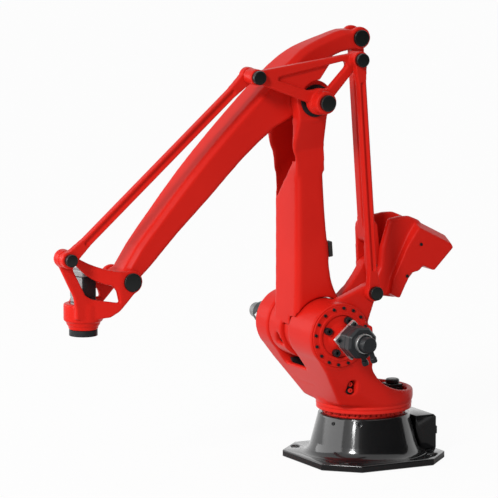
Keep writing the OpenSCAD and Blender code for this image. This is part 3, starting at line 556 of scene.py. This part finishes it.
def cap_screw(reach, height, place, axis, count=24, soft=60):
    """A round head with an eased rim and a six-sided socket. Ring u is
    round outside the rim and six-sided inside it."""
    ease, key = reach * 0.12, reach * 0.42
    six = many_sided(6, np.full((1, 6), key), count, soft)[0]
    rounds = [np.full(count, r) for r in (reach, reach, reach - ease * 0.3, reach - ease)]
    radius = np.stack(rounds + [six * 1.06, six, six])
    level = [0, height - ease, height - ease * 0.3, height, height, height - ease * 0.5, height * 0.45]
    across = along_x if abs(axis[0]) < 0.5 else along_y
    return stood(shut(spun(radius, level, count)), place, axis, across)


def repeated(solid, places):
    """The solid again at each offset."""
    points, faces = solid
    places = np.asarray(places, float)
    many = (points[None] + places[:, None]).reshape(-1, 3)
    return many, [[v + i * len(points) for v in face] for i in range(len(places)) for face in faces]


def on_circle(count, reach, first, across, square_to):
    """Offsets of count spots on a circle, the first one turned by an angle."""
    around = math.radians(first) + even_turns(count)
    return reach * (np.cos(around)[:, None] * across + np.sin(around)[:, None] * square_to)


# A small grease plug sits square to the cone's side, near its top. The
# twenty-four cap screws of the slewing ring are painted with the column.
plug_turn, cone_slope, plug_out, plug_z = math.radians(21), math.radians(14.6), 0.2365, 0.205
plug_side = math.cos(plug_turn) * along_x + math.sin(plug_turn) * along_y
plug_axis = math.cos(cone_slope) * plug_side + math.sin(cone_slope) * along_z
assembled("grease_plug", [
    cap_screw(0.009, 0.006, plug_side * plug_out + along_z * plug_z, plug_axis, count=36)],
    "base", black_satin, "black_parts")
assembled("ring_screws", [repeated(cap_screw(0.011, 0.015, (0, 0, 0.2425), along_z),
                                   on_circle(24, 0.201, 7.5, along_x, along_y))],
          "turntable", red_paint, "red_paint", "slew_bolts")

# ---- Turning motor ------------------------------------------------------
# It stands upright in the bowl behind the shoulders, a black servo with a
# square shoulder and a low moulded lid.
motor_black = finish("motor_black", (0.011, 0.012, 0.014), (0.016, 0.018, 0.02), 0.34, shine=0.3, grain=120)
motor_middle, motor_half = middle_of("slew_motor")
motor_foot = motor_middle - along_z * motor_half
shoulder_rise, lid_rise = 0.064, 0.08
drum = rounded_line([(0.03, 0), (0, 0), (0, 0.03), (0.003, 0.033), (0.003, 0.037), (0, 0.04), (0, 0.064),
                     (0.03, 0.064)], thin_edge)
shoulder_block = rounded_line([(0.02, 0), (0, 0), (0, 0.016), (0.02, 0.016)], 0.003)
lid = rounded_line([(0.02, 0), (0.004, 0), (0, 0.006), (0, 0.018), (0.006, 0.024), (0.0345, 0.024)], 0.003)
assembled("turning_motor_body", [
    turned(drum, motor_half[0], motor_foot, along_z, count=72),
    turned(shoulder_block, (0.036, 0.044), motor_foot + along_z * shoulder_rise, along_z,
           sides=4, count=96)], "turntable", motor_black, "motor_black", "slew_motor")
assembled("turning_motor_lid", [turned(lid, 0.035, motor_foot + along_z * lid_rise, along_z, count=72)],
          "turntable", motor_black, "motor_black", "slew_motor_cap")

# Two red screws hold the dark plate in the column's slot.
slot_screw_rise, slot_screw_sunk = 0.016, 0.0005
assembled("slot_cap_screws", [
    cap_screw(0.0115, 0.01, (slot_x, slot_plate_face - slot_screw_sunk, slot_z + rise), along_y)
    for rise in (-slot_screw_rise, slot_screw_rise)], "turntable", red_paint, "red_paint", "slot_screws")

# ---- Shoulder drives ----------------------------------------------------
# A cycloid reducer is let into each shoulder and held by sixteen screws. A
# servo motor on a red neck stands off it, among four large cap screws, and
# a light plate bolts it up.
for name in ("crank", "arm"):
    eased(name + "_reducer_case", name + "_reducer", "turntable", red_paint, width=0.002)
light_alloy = finish("light_alloy", (0.62, 0.63, 0.62), (0.7, 0.71, 0.7), 0.42, metal=1.0, grain=260,
                     bump=0.2)
cast_grey = finish("cast_grey", (0.27, 0.28, 0.28), (0.34, 0.35, 0.35), 0.45, metal=0.5, shine=0.3,
                   grain=200, bump=0.25)
pivots = {joint["name"]: np.array(joint["pos_m"], float) for joint in frame["joints"]}
shoulder = pivots["arm_swing"]


def side_view(turn):
    """The x and z directions, turned about y by an angle in degrees."""
    turn = math.radians(turn)
    return (math.cos(turn) * along_x - math.sin(turn) * along_z,
            math.sin(turn) * along_x + math.cos(turn) * along_z)


def four_of(reach, across, square_to):
    """The four corners of a square, as offsets from its middle."""
    return [a * across + b * square_to for a in (-reach, reach) for b in (-reach, reach)]


def knurled(reach, tall, place, axis, ridges=20, count=120):
    """A cable plug's coupling: radius reach, less a fine wave of ridges that
    fades at both ends."""
    level = np.linspace(0, 1, 9)
    bulge = 1 - 0.16 * np.abs(2 * level - 1) ** 6
    depth = 0.03 * (1 - np.abs(2 * level - 1) ** 4)
    wave = 0.5 * np.cos(ridges * even_turns(count)) - 0.5
    radius = reach * (bulge[:, None] + depth[:, None] * wave)
    return stood(shut(spun(radius, level * tall, count)), place, axis, along_y)


neck = rounded_line([(0.08, 0), (0, 0), (0, 0.012), (0.03, 0.016), (0.05, 0.026), (0.05, 0.116),
                     (0.09, 0.116)], 0.003)
plate = rounded_line([(0.03, 0), (0, 0), (0, 0.022), (0.03, 0.022)], 0.0016)
shell = rounded_line([(0.03, 0), (0.004, 0), (0, 0.004), (0, 0.05), (0.0025, 0.052), (0.0025, 0.055),
                      (0, 0.057), (0, 0.092), (0.01, 0.104), (0.04, 0.104)], 0.0012)
drum_ring = rounded_line([(0.02, 0), (0, 0), (0, 0.022), (0.02, 0.022)], 0.0015)
encoder_lid = rounded_line([(0.02, 0), (0, 0), (0, 0.042), (0.004, 0.0475), (0.0386, 0.048)], 0.003)
plug_stem = rounded_line([(0.006, 0), (0, 0), (0, 0.038), (0.006, 0.038)], thin_edge)

# How far out from the robot's middle each part of a drive starts, and how
# far below the motor's axis each cable plug starts.
reducer_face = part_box("crank_reducer")[1][1]
motor_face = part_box("crank_motor")[0][1]
neck_at, reducer_screws_at, stays_at = reducer_face - np.array((0.0185, 0.006, 0.0045))
plate_at, plate_screws_at, shell_at = motor_face + np.array((-0.0025, 0.0192, 0.0195))
ring_at, lid_foot_at, lid_at = motor_face + np.array((0.123, 0.128, 0.145))
plug_starts, knurl_rise = ((motor_face + 0.063, 0.07), (motor_face + 0.172, 0.034)), 0.035

# The left motor is eight-sided. The right one is round and slimmer, with
# a grey lid.
stay_x, stay_z = side_view(22)
plate_x, plate_z = side_view(41)
for side, name, ring_reach, lid_paint, lid_slot in ((1, "crank", 0.049, motor_black, "motor_black"),
                                                    (-1, "arm", 0.044, cast_grey, "light_alloy")):
    out = side * along_y
    assembled(name + "_reducer_screws", [
        repeated(cap_screw(0.008, 0.008, shoulder + out * reducer_screws_at, out),
                 on_circle(16, 0.142, 6, along_x, along_z))],
        "turntable", black_satin, "black_parts", name + "_reducer_bolts")
    assembled(name + "_motor_neck", [turned(neck, 0.104, shoulder + out * neck_at, out)],
              "turntable", red_paint, "red_paint", name + "_motor_adapter")
    assembled(name + "_motor_plate", [
        turned(plate, 0.0715, shoulder + out * plate_at, out, plate_x, sides=4, count=128)],
        "turntable", light_alloy, "light_alloy", name + "_motor_adapter", name + "_motor")
    if side > 0:
        motor_shell = turned(shell, 0.0765, shoulder + out * shell_at, out, plate_x,
                             sides=8, count=144, soft=90)
    else:
        motor_shell = turned(shell, 0.058, shoulder + out * shell_at, out)
    assembled(name + "_motor_shell", [motor_shell], "turntable", motor_black, "motor_black", name + "_motor")
    assembled(name + "_motor_ring", [turned(drum_ring, ring_reach, shoulder + out * ring_at, out)],
              "turntable", light_alloy, "light_alloy", name + "_motor")
    assembled(name + "_encoder_lid", [turned(encoder_lid, 0.0395, shoulder + out * lid_at, out),
                                      turned(drum_ring, 0.044, shoulder + out * lid_foot_at, out)],
              "turntable", lid_paint, lid_slot, name + "_motor")
    assembled(name + "_motor_stays", [
        repeated(cap_screw(0.0185, 0.028, shoulder + out * stays_at, out, count=36),
                 four_of(0.06, stay_x, stay_z)),
        repeated(cap_screw(0.008, 0.011, shoulder + out * plate_screws_at, out),
                 four_of(0.058, plate_x, plate_z))],
        "turntable", black_satin, "black_parts", name + "_motor_studs")
    cable_plugs = []
    for plug_at, below in plug_starts:
        foot = shoulder + out * plug_at - stay_z * below
        cable_plugs.append(turned(plug_stem, 0.013, foot, -stay_z, along_y, count=48))
        cable_plugs.append(knurled(0.017, 0.026, foot - stay_z * knurl_rise, -stay_z))
    assembled(name + "_cable_plugs", cable_plugs,
              "turntable", motor_black, "motor_black", name + "_motor_plugs")
dress(bare_steel, "main_spindle")

# ---- Pin caps -----------------------------------------------------------
# Each linkage pin is shut in by a pressed black cap, a low drum with a
# soft rim and a slight crown, which is pushed on to the pin's end.
cap_black = finish("cap_black", (0.006, 0.0075, 0.007), (0.01, 0.0115, 0.011), 0.3, shine=0.3, grain=140)
horn, elbow, wrist = pivots["tie_rod_swing"], pivots["forearm_swing"], pivots["wrist_level"]
front_corner = pivots["wrist_rod_swing"]
rear_corner = elbow + horn - shoulder
link = wrist + front_corner - elbow
tail = middle_of("tail_pin")[0]
cap_rim, cap_crown = 0.004, 0.0012


def pin_cap(reach, tall, pin, start, side=1):
    """A cap turned about a pin: a wall, a soft rim, and a face that falls
    away from its middle as the square of the distance from there. Its foot
    lies at y = start, or at y = -start on the other side."""
    share = np.linspace(0.1, 0.985, 7)
    wall = [(0.012, 0), (0, 0), (0, tall - cap_rim), (0.0012, tall - 0.0018), (0.0034, tall - cap_crown)]
    face = np.column_stack([reach * share, tall - cap_crown * (1 - share) ** 2])
    place = (pin[0], side * start, pin[2])
    return turned(np.vstack([wall, face]), reach, place, side * along_y, count=72)


assembled("horn_pin_cap", [pin_cap(0.0345, 0.0254, horn, 0.3006)],
          "turntable", cap_black, "black_parts", "horn_cap")
assembled("triangle_pin_caps", [
    pin_cap(0.0345, 0.0254, rear_corner, 0.3006), pin_cap(0.0345, 0.0259, front_corner, 0.2521),
    pin_cap(0.0405, 0.0239, elbow, 0.3061)], "triangle", cap_black, "black_parts", "triangle_caps")
assembled("tail_pin_caps", [pin_cap(0.0415, 0.0159, tail, 0.0601, side) for side in (-1, 1)],
          "forearm", cap_black, "black_parts", "tail_caps")
assembled("wrist_pin_caps", [pin_cap(0.046, 0.0139, wrist, 0.1251, side) for side in (-1, 1)],
          "wrist_head", cap_black, "black_parts", "wrist_caps")
assembled("link_pin_cap", [pin_cap(0.031, 0.0254, link, 0.1666)],
          "wrist_head", cap_black, "black_parts", "link_cap")
dress(bare_steel, "horn_pin", "triangle_pins", "tail_pin", "link_pin", "wrist_shaft", "crank_pin",
      "elbow_shaft")

# ---- Lower arm ----------------------------------------------------------
# A hollow red casting, forked at the elbow, where two ears hold the elbow
# shaft between black rings. A rubber stop is screwed on behind it.


def slope(start, end):
    """The angle of the line between two pins above the x axis, atan2(rise,
    run), in degrees to a tenth."""
    return round(math.degrees(math.atan2(end[2] - start[2], end[0] - start[0])), 1)


arm_lean = 90 - slope(shoulder, elbow)
arm_axis = side_view(arm_lean)[0]
port_axis = side_view(18)[0]
fork_throat = block([(-0.108, 0.66), (0.06, 0.85), (0.107, 1.02), (-0.108, 1.02)], 0.035, 0.2, shoulder,
                    arm_axis, along_y)
hub_port = block([(-0.108, -0.036), (-0.041, -0.04), (-0.08, 0.036)], 0.055, 0.2, shoulder, port_axis,
                 along_y)
ear = np.array([(0.112, 0.8), (0.1235, 0.8), (0.1255, 0.92), (0.182, 1.08), (0.182, 1.12), (0.112, 1.12)])
other_ear = ear[::-1] * (-1, 1)
ears = [block(outline, -0.066, 0.097, shoulder, arm_axis, along_y) for outline in (ear, other_ear)]
casting("lower_arm_casting", "lower_arm", "lower_arm", voxel=0.006, passes=20, lean=arm_lean,
        hollows=[fork_throat, hub_port], pads=ears)

# A dark plate closes the three-cornered port in the arm's hub, well inside it. It is painted shade that
# darkens the hole.
assembled("port_shade_plate", [block([(-0.106, -0.034), (-0.043, -0.038), (-0.08, 0.034)], 0.05, 0.138, shoulder,
                               port_axis, along_y)], "lower_arm", black_satin, "black_parts")
rubber = finish("rubber", (0.015, 0.015, 0.015), (0.022, 0.022, 0.022), 0.7, grain=300)
eased("rubber_stop", "arm_buffer", "lower_arm", rubber, width=0.006, steps=4)
dress(black_satin, "elbow_ring_left", "elbow_ring_right")

# ---- Crank and counterweight --------------------------------------------
# The crank swings the forearm by its rod, and carries the counterweight
# behind it. Both are castings in red paint, and the weight has two screws
# in each side.
casting("crank_casting", "crank", "crank", voxel=0.005, passes=14)
casting("counterweight_casting", "counterweight", "crank", voxel=0.005, passes=16)
weight_face = 0.1435
assembled("weight_screws", [cap_screw(0.008, 0.0075, (x, side * weight_face, z), side * along_y)
                            for x, z in ((-0.165, 0.935), (-0.245, 1.09)) for side in (-1, 1)],
          "crank", black_satin, "black_parts", "counterweight_bolts")

# ---- Rods and triangle --------------------------------------------------
# Three grooved rods with bushed eyes, and the three-cornered plate that
# hands the pull of one rod on to the next. All are cast and painted red.
fore_dip = -slope(elbow, wrist)
casting("drive_rod_casting", "drive_rod", "drive_rod", voxel=0.0035, passes=10, lean=arm_lean)
casting("tie_rod_casting", "tie_rod", "tie_rod", voxel=0.003, passes=10, lean=arm_lean)
casting("wrist_rod_casting", "wrist_rod", "wrist_rod", voxel=0.003, passes=10, lean=fore_dip)
casting("triangle_casting", "triangle", "triangle", voxel=0.0032, passes=24)

# ---- Forearm ------------------------------------------------------------
# A hollow beam, cast in one piece and painted red. It is forked at the
# tail for the drive rod, and swings on the elbow shaft.
casting("forearm_casting", "forearm", "forearm", voxel=0.005, passes=13, keep=0.4, lean=fore_dip)

# ---- Wrist --------------------------------------------------------------
# An open red casting, kept level by its rod. The fourth motor stands
# upright in it on a grey gear housing, over the blackened tool flange.
casting("wrist_head_casting", "wrist_head", "wrist_head", voxel=0.004, passes=26)

# The motor's axis, foot and top are taken to the nearest millimetre.
tool_axis = np.round(pivots["tool_turn"], 3) * (1, 1, 0)
case_z, top_cover_z = (round(corner[2], 3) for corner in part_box("wrist_motor"))
sheen_plate_z, sheen_plate_out = (case_z + top_cover_z) / 2, 0.045
skew = math.radians(20)
motor_side = math.cos(skew) * along_x + math.sin(skew) * along_y
motor_case = rounded_line([(0.02, 0), (0, 0), (0, 0.02), (0.002, 0.022), (0.002, 0.026), (0, 0.028),
                           (0, 0.132), (0.02, 0.132)], thin_edge)
top_cover = rounded_line([(0.02, 0), (0, 0), (0, 0.028), (0.008, 0.036), (0.04, 0.036)], 0.004)
# The grey plate on the motor's face towards the key lamp stands for a light alloy terminal plate. Its grey
# is also painted sheen on that lit face.
sheen_plate = rounded_line([(0.02, 0), (0, 0), (0, 0.0028), (0.02, 0.0028)], thin_edge)
assembled("wrist_motor_case", [
    turned(motor_case, 0.0452, tool_axis + along_z * case_z, along_z, motor_side, sides=4, count=112)],
    "wrist_head", motor_black, "motor_black", "wrist_motor")
assembled("wrist_motor_covers_and_sheen", [
    turned(top_cover, 0.0495, tool_axis + along_z * top_cover_z, along_z, motor_side, sides=4, count=112),
    turned(sheen_plate, (0.062, 0.04), tool_axis + along_z * sheen_plate_z + motor_side * sheen_plate_out,
           motor_side, along_z, sides=4, count=96)],
    "wrist_head", cast_grey, "light_alloy", "wrist_motor_cover")
eased("wrist_gear_housing", "wrist_gear_case", "wrist_head", cast_grey, width=0.0015,
      steps=2)
eased("tool_flange_turned", "tool_flange", "tool_flange", black_satin, width=0.0012, steps=2)
